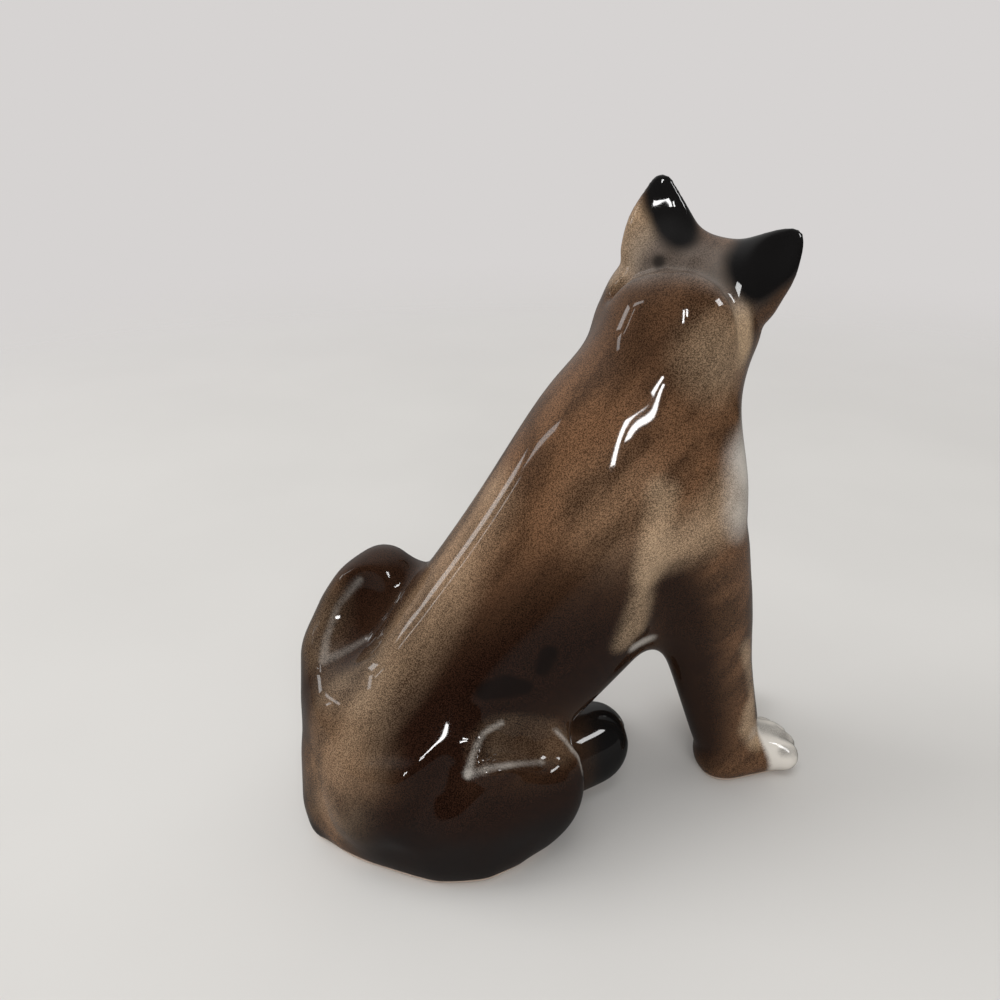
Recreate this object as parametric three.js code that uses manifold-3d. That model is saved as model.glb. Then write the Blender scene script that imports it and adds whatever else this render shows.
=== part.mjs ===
// Sitting dog figurine in glazed ceramic: hollow torso and head castings, with solid ears,
// legs, haunches, feet and tail luted on. The dog sits with its right thigh splayed flat and
// looks back over its left shoulder, its head tilted. Millimetres, +X ahead of the dog's body,
// +Y to its left, +Z up, standing on Z = 0 with the origin under the middle of the figure.
import * as THREE from 'three';
import { LoftGeometry } from 'three/addons/geometries/LoftGeometry.js';
import { mergeVertices } from 'three/addons/utils/BufferGeometryUtils.js';
import Module from 'manifold-3d';

const wasm = await Module();
wasm.setup();

// Casting: the wall left in the mould, the luting gap between pieces and the firing vent
const WALL = 2.4;
const LUTING_GAP = 0.3;
const VENT_DIAMETER = 5;

// Facets round a section, along a piece and over a rounded end
const BODY_SIDES = 26;
const BODY_ROWS = 20;
const LIMB_SIDES = 16;
const LIMB_ROWS = 9;
const HOLLOW_SIDES = 12;
const HOLLOW_ROWS = 10;
const DOME_ROWS = 4;
const BALL_SIDES = 10;

// A station is the centre of a section, with its half width across the dog and its half depth
// square to that. "lean" is the angle from level of the line that the section stands square to,
// and "cap" is how far a rounded end runs past its end station. X runs from the back of the rump.
const TORSO = {
  seat: { x: 13.2, y: 0, z: 5, wide: 12.4, deep: 13, lean: 84, cap: 10 },
  rump: { x: 16, y: 0, z: 14, wide: 13, deep: 14.4, lean: 66 },
  loin: { x: 24.8, y: 0, z: 24.4, wide: 12.8, deep: 15, lean: 52 },
  ribs: { x: 35.2, y: 0, z: 36, wide: 13.2, deep: 16.2, lean: 51 },
  chest: { x: 43.6, y: 0, z: 47.2, wide: 13, deep: 17, lean: 54 },
  withers: { x: 47, y: 0, z: 55.4, wide: 11.6, deep: 15, lean: 59 },
  neck: { x: 49, y: 0.4, z: 62.6, wide: 9.8, deep: 10.8, lean: 64 },
  nape: { x: 51, y: 1, z: 67, wide: 8.8, deep: 9, lean: 66, cap: 3.5 },
};
// How much narrower the back is than the belly, as a share of the half width
const TORSO_EGG = 0.1;

// A foreleg's sections, and how deep its shoulder is sunk in the chest
const FORELEG = {
  shoulder: { wide: 5.6, deep: 8, cap: 7 },
  elbow: { wide: 5.4, deep: 7.2 },
  forearm: { wide: 4.6, deep: 5.9 },
  wrist: { wide: 4.2, deep: 5.2 },
};
const SHOULDER_SINK = 3;
const SHOULDER_AHEAD = 3.8;
const RIGHT_FORELEG = {
  elbow: { x: 52.4, y: -8.2, z: 32.5 },
  forearm: { x: 56.2, y: -6.4, z: 20 },
  wrist: { x: 60.2, y: -5, z: 8 },
  toeOut: 0,
};
const LEFT_FORELEG = {
  elbow: { x: 55.6, y: 7.6, z: 32.5 },
  forearm: { x: 60.8, y: 5.2, z: 20 },
  wrist: { x: 64, y: 4.2, z: 8 },
  toeOut: 52,
};

// A forepaw is a low pad, level under the wrist, with toes along its rounded front
const PAW = { wide: 4.6, high: 4.4, rise: 3.6, length: 7.6, drop: 0.6, taper: 0.8 };
const TOES = { count: 4, radius: 2.4, reach: 2.6, rise: 2.6, spread: 6.8, round: 1.3 };

// Haunches: the right thigh lies flat and splayed, the left one stands with its knee up
const RIGHT_HAUNCH = {
  hip: { x: 12.5, y: -8, z: 12.5, wide: 8.2, deep: 13, cap: 11.5 },
  thigh: { x: 20, y: -10.2, z: 11, wide: 8.2, deep: 13 },
  knee: { x: 28, y: -10.4, z: 9, wide: 6.8, deep: 9, cap: 6.8 },
};
const LEFT_HAUNCH = {
  hip: { x: 12.8, y: 9.5, z: 17.6, wide: 8.4, deep: 20.6, lean: 3, cap: 12.4 },
  thigh: { x: 20.5, y: 11, z: 14.6, wide: 8.2, deep: 15, lean: -8 },
  knee: { x: 28.6, y: 12, z: 13, wide: 6.6, deep: 10, lean: -16, cap: 7 },
};
const RIGHT_HIND_FOOT = {
  hock: { x: 27, y: -4.5, z: 6.4, wide: 5.4, deep: 6 },
  toes: { x: 40.4, y: -0.8, z: 6.6, wide: 5.6, deep: 6.4 },
};
const LEFT_HIND_FOOT = {
  hock: { x: 27, y: 11, z: 5.2, wide: 5, deep: 5 },
  toes: { x: 40.4, y: 11, z: 5.2, wide: 5.2, deep: 5.2 },
};

// The docked tail hangs down the rump to the table
const TAIL = {
  root: { x: 2.4, y: 0, z: 11, wide: 2.6, deep: 2.6 },
  tip: { x: 0.9, y: 0, z: 2, wide: 2.2, deep: 2.2 },
};

// The head has its own frame: X along the muzzle, Y to its left, Z through the crown
const HEAD_CENTRE = { x: 51.8, y: 2, z: 69.8 };
const HEAD_TURN = 64;
const HEAD_NOD = 4;
const HEAD_ROLL = 19.5;
const SKULL = {
  occiput: { x: -4, y: 0, z: -0.5, wide: 8.6, deep: 7.8 },
  crown: { x: 0.5, y: 0, z: 0.2, wide: 10.2, deep: 8.8 },
  brow: { x: 5, y: 0, z: 0.4, wide: 8.2, deep: 7.4, cap: 5 },
};
const CHEEKS = {
  right: { x: 2.4, y: -5, z: -3.6, wide: 6.2, deep: 5.8, cap: 5 },
  left: { x: 2.4, y: 5, z: -3.6, wide: 6.2, deep: 5.8, cap: 5 },
};
const MUZZLE = {
  stop: { x: 5, y: 0, z: -3.2, wide: 6.6, deep: 5.8 },
  lips: { x: 12.2, y: 0, z: -3.8, wide: 6.2, deep: 5, cap: 3.4 },
};
const CHIN = {
  jaw: { x: 3.4, y: 0, z: -7.2, wide: 5.8, deep: 3.4 },
  tip: { x: 12, y: 0, z: -8.2, wide: 4.2, deep: 2.8 },
};
const NOSE = { x: 14.4, y: 0, z: -1, wide: 2.8, high: 1.9, long: 1.8 };
const EYES = { x: 8.3, y: 4.6, z: 1.7, radius: 1.6 };
const EAR = {
  root: { x: -1, y: 6, z: 5.6, wide: 4.8, deep: 2.8 },
  middle: { x: -1.6, y: 7.4, z: 10, wide: 3.9, deep: 2.3 },
  tip: { x: -2.2, y: 8.8, z: 13.8, wide: 1.6, deep: 1.3 },
};
// The ear's hollow front, as thick at its edge as the rim
const EAR_RIM = 1.2;
const EAR_HOLLOW_AHEAD = 2.2;

const BROWN = 0x5b4334;
const DARK_BROWN = 0x2a211d;
const BLACK = 0x17161a;
const GLAZE_ROUGHNESS = 0.12;

const ACROSS = new THREE.Vector3(0, 1, 0);
const ALONG = new THREE.Vector3(1, 0, 0);

function solid(geometry) {
  const plain = new THREE.BufferGeometry().copy(geometry);
  plain.deleteAttribute('normal');
  plain.deleteAttribute('uv');
  const merged = mergeVertices(plain, 1e-4);
  const vertProperties = new Float32Array(merged.attributes.position.array);
  const triVerts = new Uint32Array(merged.index.array);
  return new wasm.Manifold(new wasm.Mesh({ numProp: 3, vertProperties, triVerts }));
}

// A loft of oval sections along a smooth line through the stations, rounded at both ends.
// "swell" grows it all over: by the luting gap to cope a neighbour, by less than nothing for
// a hollow. A section stands square to the line, or to its stations' lean where they give one.
function loft(
  stations,
  { widthAxis = ACROSS, sides = LIMB_SIDES, rows = LIMB_ROWS, swell = 0, egg = 0 } = {},
) {
  const list = Object.values(stations);
  const spine = new THREE.CatmullRomCurve3(
    list.map(({ x, y, z }) => new THREE.Vector3(x, y, z)),
    false,
    'catmullrom',
  );
  const leans = list.every(({ lean }) => lean !== undefined);
  const shapes = new THREE.CatmullRomCurve3(
    list.map(({ wide, deep, lean = 0 }) => new THREE.Vector3(wide, deep, THREE.MathUtils.degToRad(lean))),
    false,
    'catmullrom',
  );

  const section = (t, domeAngle) => {
    const centre = spine.getPoint(t);
    const shape = shapes.getPoint(t);
    const wide = shape.x + swell;
    const deep = shape.y + swell;
    const ahead = leans ? new THREE.Vector3(Math.cos(shape.z), 0, Math.sin(shape.z)) : spine.getTangent(t);
    const side = widthAxis.clone().addScaledVector(ahead, -widthAxis.dot(ahead)).normalize();
    const up = ahead.clone().cross(side);
    const end = list[domeAngle < 0 ? 0 : list.length - 1];
    const cap = end.cap === undefined ? Math.min(wide, deep) : end.cap + swell;
    centre.addScaledVector(ahead, Math.sin(domeAngle) * cap);
    return Array.from({ length: sides }, (_, index) => {
      const angle = (index / sides) * 2 * Math.PI;
      const across = wide * Math.cos(angle) * (1 - egg * Math.sin(angle));
      return centre.clone()
        .addScaledVector(side, Math.cos(domeAngle) * across)
        .addScaledVector(up, Math.cos(domeAngle) * deep * Math.sin(angle));
    });
  };

  const domeAngles = Array.from(
    { length: DOME_ROWS },
    (_, row) => ((row + 1) / (DOME_ROWS + 0.5)) * (Math.PI / 2),
  );
  const sections = [
    ...domeAngles.toReversed().map((angle) => section(0, -angle)),
    ...Array.from({ length: rows + 1 }, (_, row) => section(row / rows, 0)),
    ...domeAngles.map((angle) => section(1, angle)),
  ];
  return solid(new LoftGeometry(sections, { closed: true, capStart: true, capEnd: true }));
}

function oval({ x, y, z }, { long, wide, high }) {
  const sphere = new THREE.SphereGeometry(1, BALL_SIDES, BALL_SIDES / 2);
  return solid(sphere.scale(long, wide, high).translate(x, y, z));
}

const ball = (place, radius) => oval(place, { long: radius, wide: radius, high: radius });

function piece(name, body, color) {
  const { vertProperties, triVerts } = body.getMesh();
  const geometry = new THREE.BufferGeometry();
  geometry.setAttribute('position', new THREE.BufferAttribute(vertProperties, 3));
  geometry.setIndex(new THREE.BufferAttribute(triVerts, 1));
  geometry.computeVertexNormals();
  const material = new THREE.MeshStandardMaterial({ color, roughness: GLAZE_ROUGHNESS, metalness: 0 });
  const mesh = new THREE.Mesh(geometry, material);
  mesh.name = name;
  return mesh;
}

// The bases are ground flat on the table, and the hollow stops a wall's thickness above it
const TABLE_SIZE = 400;
const tableTop = (z) => solid(
  new THREE.BoxGeometry(TABLE_SIZE, TABLE_SIZE, TABLE_SIZE).translate(0, 0, z - TABLE_SIZE / 2),
);
const table = tableTop(0);

const torsoLoft = (swell) => loft(TORSO, { sides: BODY_SIDES, rows: BODY_ROWS, egg: TORSO_EGG, swell });
const torsoCope = torsoLoft(LUTING_GAP);

function torso() {
  const openNeck = { ...TORSO, nape: { ...TORSO.nape, cap: TORSO.nape.cap + 2 * WALL } };
  const hollow = loft(openNeck, { sides: HOLLOW_SIDES, rows: HOLLOW_ROWS, egg: TORSO_EGG, swell: -WALL });
  const vent = new THREE.CylinderGeometry(VENT_DIAMETER / 2, VENT_DIAMETER / 2, 4 * WALL, BALL_SIDES);
  vent.rotateX(Math.PI / 2).translate(TORSO.seat.x, TORSO.seat.y, 0);
  return torsoLoft(0).subtract(hollow.subtract(tableTop(WALL))).subtract(solid(vent)).subtract(table);
}

function forepaw({ wrist, toeOut }) {
  let body = loft({
    heel: { x: 0, y: 0, z: 0, wide: PAW.wide, deep: PAW.high },
    front: { x: PAW.length, y: 0, z: -PAW.drop, wide: PAW.wide, deep: PAW.high - PAW.taper },
  });
  for (let toe = 0; toe < TOES.count; toe++) {
    const offset = toe / (TOES.count - 1) - 0.5;
    const reach = PAW.length + TOES.reach - 4 * TOES.round * offset * offset;
    body = body.add(ball({ x: reach, y: offset * TOES.spread, z: TOES.rise - PAW.rise }, TOES.radius));
  }
  return body.rotate([0, 0, toeOut]).translate([wrist.x, wrist.y, PAW.rise]);
}

function foreleg({ toeOut, ...places }) {
  const side = Math.sign(places.wrist.y);
  const shoulder = {
    x: TORSO.chest.x + SHOULDER_AHEAD,
    y: side * (TORSO.chest.wide - SHOULDER_SINK),
    z: TORSO.chest.z,
  };
  const stations = Object.entries({ shoulder, ...places })
    .map(([name, place]) => ({ ...place, ...FORELEG[name] }));
  return loft(stations).add(forepaw({ ...places, toeOut })).subtract(torsoCope).subtract(table);
}

const haunch = (stations) => loft(stations).subtract(torsoCope).subtract(table);

function hindFoot(stations, thigh) {
  const thighCope = loft(thigh, { swell: LUTING_GAP });
  return loft(stations).subtract(thighCope).subtract(torsoCope).subtract(table);
}

const tail = () => loft(TAIL).subtract(torsoCope).subtract(table);

const headGroup = new THREE.Group();
headGroup.position.set(HEAD_CENTRE.x, HEAD_CENTRE.y, HEAD_CENTRE.z);
headGroup.rotation.set(
  THREE.MathUtils.degToRad(HEAD_ROLL),
  THREE.MathUtils.degToRad(HEAD_NOD),
  THREE.MathUtils.degToRad(HEAD_TURN),
  'ZYX',
);
headGroup.updateMatrix();

const skullLoft = (swell) => loft(SKULL, { sides: BODY_SIDES, swell })
  .add(loft(CHEEKS, { widthAxis: ALONG, swell }))
  .add(loft(MUZZLE, { swell }));

function head() {
  const neckCope = torsoCope.transform(headGroup.matrix.clone().invert().toArray());
  const hollow = loft(SKULL, { sides: HOLLOW_SIDES, swell: -WALL });
  let body = skullLoft(0).add(loft(CHIN)).add(oval(NOSE, NOSE));
  for (const side of [1, -1]) body = body.add(ball({ ...EYES, y: side * EYES.y }, EYES.radius));
  return body.subtract(hollow).subtract(neckCope);
}

function ear(side) {
  const outer = Object.values(EAR).map((station) => ({ ...station, y: side * station.y }));
  const inner = outer.map((station) => ({
    ...station,
    x: station.x + EAR_HOLLOW_AHEAD,
    wide: station.wide - EAR_RIM,
  }));
  return loft(outer).subtract(loft(inner)).subtract(skullLoft(LUTING_GAP));
}

headGroup.add(piece('head', head(), BROWN));
headGroup.add(piece('left_ear', ear(1), BLACK));
headGroup.add(piece('right_ear', ear(-1), BLACK));

const dog = new THREE.Group();
dog.add(piece('torso', torso(), BROWN));
dog.add(headGroup);
dog.add(piece('right_foreleg', foreleg(RIGHT_FORELEG), BROWN));
dog.add(piece('left_foreleg', foreleg(LEFT_FORELEG), BROWN));
dog.add(piece('right_haunch', haunch(RIGHT_HAUNCH), DARK_BROWN));
dog.add(piece('left_haunch', haunch(LEFT_HAUNCH), DARK_BROWN));
dog.add(piece('right_hind_foot', hindFoot(RIGHT_HIND_FOOT, RIGHT_HAUNCH), BLACK));
dog.add(piece('left_hind_foot', hindFoot(LEFT_HIND_FOOT, LEFT_HAUNCH), BLACK));
dog.add(piece('tail', tail(), DARK_BROWN));

// Stand the figure over the origin
const middle = new THREE.Box3().setFromObject(dog, true).getCenter(new THREE.Vector3());
dog.position.set(-middle.x, -middle.y, 0);

export default dog;
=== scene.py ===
"""Sitting dog figurine in glazed ceramic, sculpted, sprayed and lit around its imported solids."""
import functools
import itertools
import math
from dataclasses import dataclass

import bmesh
import bpy
import numpy as np
import openvdb as vdb
from bpy.props import FloatProperty, FloatVectorProperty, PointerProperty
from mathutils import Euler, Matrix, Vector
from mathutils.bvhtree import BVHTree


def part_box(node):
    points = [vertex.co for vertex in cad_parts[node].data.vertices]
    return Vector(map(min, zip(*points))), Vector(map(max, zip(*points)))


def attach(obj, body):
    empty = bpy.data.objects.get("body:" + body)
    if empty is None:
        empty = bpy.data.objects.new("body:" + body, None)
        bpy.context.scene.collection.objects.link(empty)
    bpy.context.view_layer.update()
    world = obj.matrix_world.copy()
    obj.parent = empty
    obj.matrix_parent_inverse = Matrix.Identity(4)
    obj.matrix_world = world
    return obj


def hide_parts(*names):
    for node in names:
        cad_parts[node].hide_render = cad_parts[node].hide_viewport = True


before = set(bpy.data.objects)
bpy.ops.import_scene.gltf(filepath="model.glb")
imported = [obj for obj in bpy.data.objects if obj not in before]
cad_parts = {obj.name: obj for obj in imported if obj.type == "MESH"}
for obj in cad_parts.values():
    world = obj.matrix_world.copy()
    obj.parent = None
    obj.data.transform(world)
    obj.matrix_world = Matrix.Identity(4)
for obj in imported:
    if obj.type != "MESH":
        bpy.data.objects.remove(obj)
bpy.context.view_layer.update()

bl_info = {
    "name": "Sitting dog figurine",
    "version": (1, 0, 0),
    "blender": (4, 5, 0),
    "location": "3D View > Sidebar > Figurine",
    "description": "Dresses the packed solids of a ceramic dog in one sculpted, sprayed and glazed skin",
    "category": "Mesh",
}

MM = 0.001

# The sculptor's frame: millimetres, X ahead from the back of the rump, Y to the dog's left, Z up
TAIL_BEHIND = 1.3
TAIL_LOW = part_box("tail")[0]
TORSO_MIDDLE = (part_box("torso")[0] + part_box("torso")[1]) / 2
ORIGIN = np.array((TAIL_LOW.x / MM + TAIL_BEHIND, TORSO_MIDDLE.y / MM, 0.0))

# The head's own frame: X along the muzzle, Y to its left, Z through the crown
HEAD_CENTRE = Vector((51.8, 2, 69.8))
HEAD_TURN = math.radians(64)
HEAD_NOD = math.radians(4)
HEAD_ROLL = math.radians(19.5)
HEAD = Matrix.Translation(HEAD_CENTRE) @ Euler((HEAD_ROLL, HEAD_NOD, HEAD_TURN)).to_matrix().to_4x4()


def on_head(*stations):
    """A line of balls given in the head's frame, in the sculptor's frame."""
    return [(*(HEAD @ Vector(station[:3])), station[3]) for station in stations]


def on_both_sides(*stations):
    """A line of balls on the head's left, and the same on its right."""
    return [on_head(*((x, side * y, z, r) for x, y, z, r in stations)) for side in (1, -1)]


# How far each solid's facets are smoothed, in millimetres
SMOOTHING = {
    "torso": 2.2,
    "head": 1.1,
    "left_ear": 0.6,
    "right_ear": 0.6,
    "left_foreleg": 0.9,
    "right_foreleg": 0.9,
    "left_haunch": 1.8,
    "right_haunch": 1.6,
    "left_hind_foot": 1.0,
    "right_hind_foot": 1.0,
    "tail": 0.7,
}

# The torso's hollow is left out of its skin, and the head's, which is open to the neck, is packed
HOLLOW_NODE = "torso"
HEAD_CORE = on_head((-4, 0, -0.5, 6.2), (0.5, 0, 0, 7.2), (5, 0, 0.4, 5.6))
HEAD_CORE_SOFT = 0.5

# Smoothing draws round forms in by about this much, and the bases run on below the table meanwhile
SMOOTHING_LOSS = 0.15
FOOTING = 4.0

# The luted joints that are wiped smooth, with the width of the wiped clay
WIPED_JOINTS = (
    ("torso", "head", 6.0),
    ("torso", "left_foreleg", 5.0),
    ("torso", "right_foreleg", 5.0),
    ("torso", "left_haunch", 3.0),
    ("torso", "right_haunch", 2.4),
    ("torso", "tail", 4.0),
    ("head", "left_ear", 1.8),
    ("head", "right_ear", 3.0),
    ("left_haunch", "left_hind_foot", 2.0),
    ("right_haunch", "right_hind_foot", 1.4),
    ("torso", "right_hind_foot", 1.4),
)

# The backs of the ears, hollowed on a round bar before they are luted on
HOLLOWED = {
    "left_ear": [(32.1, -19, 87.9, 26), (43.1, -23.8, 87.9, 26)],
    "right_ear": [(54.7, -13.1, 75.8, 9), (60.9, -13.1, 83.6, 9)],
}
BAR_SOFT = 0.6

# Smoothing of the finished clay, in millimetres
LAST_SMOOTHING = 0.35

# Cells of the sculpting grid that hold true distances on each side of a surface, how many of them
# a stroke changes past its soft edge, and the grid's margin round the solids in millimetres
BAND = 14
STROKE_BAND = BAND / 4
GRID_MARGIN = 6.0

# How many soft edges wide a stroke works the clay, and how many radii the smoothing ball reaches
STROKE_REACH = 3
BALL_REACH = 2.5

# How often the skin's points are drawn on to the surface, and the least slope that they follow
SETTLING_PASSES = 2
LEAST_STEEPNESS = 0.2

# Finding the faces that look into a hollow: how many ways each one looks, how far it stands off,
# and how far from the face's own plane a way has to point
LOOKS = 40
STAND_OFF = 0.02
LEAST_RISE = 0.15

# Points of a solid closer than this are one, and a face this low that looks down is its base
WELD = 0.001
BASE_HEIGHT = 0.01
BASE_SLOPE = -0.99

# Where two nodes meet, a face is cut no nearer to a corner than this share of its side
SEAM_MARGIN = 0.1
TINY = 1e-9


@dataclass
class Stroke:
    """A line of balls (x, y, z, radius), with a soft edge, as a tool or a spray leaves it."""

    line: list
    soft: float
    strength: float = 1.0


def on_paw(wrist, toe_out, *stations):
    """A line of balls given from the wrist, X along the paw, in the sculptor's frame."""
    ahead = Vector((math.cos(toe_out), math.sin(toe_out), 0))
    left = Vector((-ahead.y, ahead.x, 0))
    base = Vector((*wrist, 0))
    return [(*(base + x * ahead + y * left + Vector((0, 0, z))), r) for x, y, z, r in stations]


# Where each foot starts, which way it points, how far its toes reach and how high they stand
FORE_FEET = (
    ((60.2, -5.0), 0.0, 12.6, 5.6),
    ((64.0, 4.2), math.radians(52), 12.6, 5.6),
)
HIND_FEET = (
    ((27.0, -4.5), math.radians(15.4), 19.6, 10.6),
    ((27.0, 11.0), 0.0, 18.6, 8.6),
)
TOE_PITCH = 2.3
TOE_GROOVE_SOFT = 0.8


def toe_grooves():
    """The three grooves between each foot's four toes, from the knuckles down to the table."""
    for wrist, toe_out, reach, high in FORE_FEET + HIND_FEET:
        for side in (-1, 0, 1):
            across = side * TOE_PITCH
            yield Stroke(on_paw(
                wrist, toe_out,
                (reach - 5, 0.8 * across, high + 0.4, 0.2),
                (reach - 1.6, across, 0.75 * high, 0.45),
                (reach + 0.3, 1.1 * across, 0.2 * high, 0.45),
            ), TOE_GROOVE_SOFT)


# Clay added after luting, before the body is rubbed smooth with a sponge
RUMP_LEFT = [(4.2, 7, 24, 3.4), (3.7, 5, 19, 3.8), (3.3, 3.4, 13, 3.8), (2.1, 2, 6, 2.8)]
RUMP_MIDDLE = [(5, 2, 20, 4.4), (4.6, 0.5, 13, 4.4), (4.2, -0.4, 6, 3.6)]
RUMP_RIGHT = [(5.4, -2, 19, 4.4), (5.6, -3.6, 12, 4.4), (6.4, -5.4, 8, 4.2), (6.6, -3, 4, 3.6)]
SEAT_RIM = [(6.2, -3, 3, 3.2), (8.7, -5.7, 3, 3.4), (11.8, -8.6, 3, 3.6), (14.5, -10.8, 3, 3.8),
            (19.4, -12, 3, 3.8), (22.6, -11.5, 3, 3.6), (25.6, -10.2, 3, 3.2)]
BREAST = [(52.4, -8, 57.5, 2.2), (53.2, -9, 53, 2.6), (53.2, -9.8, 48.5, 2.6)]
SHOULDER_BLADE = [(45.4, -9.2, 60.5, 1.6), (47.4, -10.2, 55, 2)]
BODY_CLAY = [
    Stroke(RUMP_LEFT, 4),
    Stroke(RUMP_MIDDLE, 4),
    Stroke(RUMP_RIGHT, 4),
    Stroke(SEAT_RIM, 4),
    Stroke(BREAST, 3),
    Stroke(SHOULDER_BLADE, 2.5),
]

# Where the sponge goes, and how far it smooths
BACK_AND_FLANK = [(25, -2, 41, 12), (46, -4, 56, 14)]
RUMP_TOP = [(7, -4, 22, 5), (12, -9, 23, 4)]
RUBBED = [
    Stroke(BACK_AND_FLANK, 6),
    Stroke(RUMP_TOP, 4),
]
RUB = 1.9

# Clay added after the sponge
EYEBALLS = on_both_sides((8.6, 4.9, 2.2, 1.8))
UPPER_LIDS = on_both_sides((9.7, 3.4, 2.3, 0.4), (9.7, 5, 3.7, 0.6), (8.9, 6.6, 2.6, 0.4))
LOWER_LIDS = on_both_sides((9.7, 3.4, 2.2, 0.4), (9.9, 5.2, 0.9, 0.45), (8.9, 6.6, 2.2, 0.4))
BROWS = on_both_sides((8.2, 3.6, 5, 1.2), (7.4, 6, 5, 1.3))
FLEWS = on_both_sides((9.5, 3.4, -5, 3.2), (13, 2.7, -4.8, 2.9))
CHIN = on_head((10.5, 0, -8.6, 2.8), (12.6, 0, -8.8, 2.5))
NOSE_PAD = on_head((15.3, -1.7, -0.8, 1.3), (15.9, 0, -0.9, 1.7), (15.3, 1.7, -0.8, 1.3))
CROWN = on_head((-1, -4.6, 6.4, 3.4), (-1, 4.6, 6.4, 3.4))
KNEE_TOP = [(10, 8, 33, 3.4), (12.8, 8.6, 35.2, 3.4), (15, 8.4, 33.4, 3)]
FLANK_FOLD = [(42.2, -12.2, 48.6, 0.5), (41.8, -12.6, 46, 1), (41.4, -12.5, 40, 1.2), (41, -12, 33, 0.9)]
THIGH_EDGE = [(21.4, -13.4, 22.3, 0.6), (19.3, -14.6, 21.3, 0.8), (17.6, -15.8, 19.6, 0.9),
              (17.2, -16.2, 18.4, 0.9)]
THIGH_RIDGE = [(17.2, -16.2, 18.4, 0.9), (21, -16.5, 18.4, 0.9), (24, -15.8, 17.6, 0.9),
               (27.3, -14.8, 16.2, 0.8), (32.2, -13.4, 13.5, 0.6)]
KNEE_LIP = [(30.7, -11.6, 17, 0.6), (32.6, -12.9, 15, 0.7), (33, -13.2, 12, 0.7)]
PATCH_SWELL = [(27.3, -8.1, 16.6, 6.1)]
TAIL_TIP = [(1.4, -0.6, 5, 1.6), (0.5, -0.7, 2.3, 1.5)]
ADDED_CLAY = [
    *(Stroke(line, 2) for line in BROWS),
    *(Stroke(line, 0.5) for line in EYEBALLS),
    *(Stroke(line, 0.4) for line in UPPER_LIDS + LOWER_LIDS),
    *(Stroke(line, 1) for line in FLEWS),
    Stroke(CHIN, 1),
    Stroke(NOSE_PAD, 0.5),
    Stroke(CROWN, 3),
    Stroke(KNEE_TOP, 3),
    Stroke(FLANK_FOLD, 1.8),
    Stroke(PATCH_SWELL, 1),
    Stroke(THIGH_EDGE, 0.7),
    Stroke(THIGH_RIDGE, 0.7),
    Stroke(KNEE_LIP, 0.7),
    Stroke(TAIL_TIP, 0.8),
]

# Clay pressed away last
NOSE_BRIDGE = on_both_sides((11.6, 5.4, -0.2, 1.4), (14.6, 4.6, 0, 1.6))
FURROW = on_head((8.6, 0, 6, 0.4), (9.6, 0, 2.6, 0.5))
NOSTRILS = on_both_sides((17.3, 0.95, -1.1, 0.4), (16.6, 1.9, -0.8, 0.35))
LIP_GROOVE = on_head((16, 0, -2.8, 0.4), (15.4, 0, -6, 0.5))
MOUTH = on_both_sides((15.2, 0.2, -6.6, 0.4), (13.9, 3.2, -7.6, 0.45), (11, 5.4, -8.2, 0.45),
                      (8.6, 6.2, -8.6, 0.3))
KNEE_DISH = [(3.4, 1.8, 31.2, 5.4), (4.6, 1.6, 32.8, 6), (6.5, 1.6, 35.2, 6)]
THIGH_TOP = [(22, -16.8, 23.4, 4.1), (25, -16.8, 22, 4.3), (28.6, -16.2, 19.6, 4)]
HIP_VALLEY = [(15.2, -18.1, 22.4, 4), (13.9, -18.2, 19.4, 4.2), (11.9, -18.4, 16, 4.3),
              (9.9, -18.8, 12.2, 4.2), (8.8, -19.2, 9.9, 4)]
ELBOW_VALLEY = [(44.2, -16.4, 38.5, 3.6), (46.6, -16.4, 34, 3.4)]
NAPE = [(42.7, 3.2, 72.1, 0.3), (44.2, 1.1, 75.3, 0.5), (46.7, -1.8, 76.9, 0.5), (50.1, -4.4, 76.7, 0.5),
        (52.4, -6.1, 75.4, 0.5), (54, -7.8, 72.5, 0.5), (54.9, -7.9, 67.7, 0.3)]
PRESSED_CLAY = [
    *(Stroke(line, 1.4) for line in NOSE_BRIDGE),
    Stroke(FURROW, 1.1),
    *(Stroke(line, 0.3) for line in NOSTRILS),
    Stroke(LIP_GROOVE, 0.8),
    *(Stroke(line, 0.5) for line in MOUTH),
    Stroke(KNEE_DISH, 1),
    Stroke(THIGH_TOP, 1.2),
    Stroke(HIP_VALLEY, 1.6),
    Stroke(NAPE, 1.6),
    Stroke(ELBOW_VALLEY, 3),
    *toe_grooves(),
]


@dataclass
class Coat:
    """What the airbrush lays down in one colour, with some painted light and shade among it."""

    name: str
    strokes: list


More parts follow.
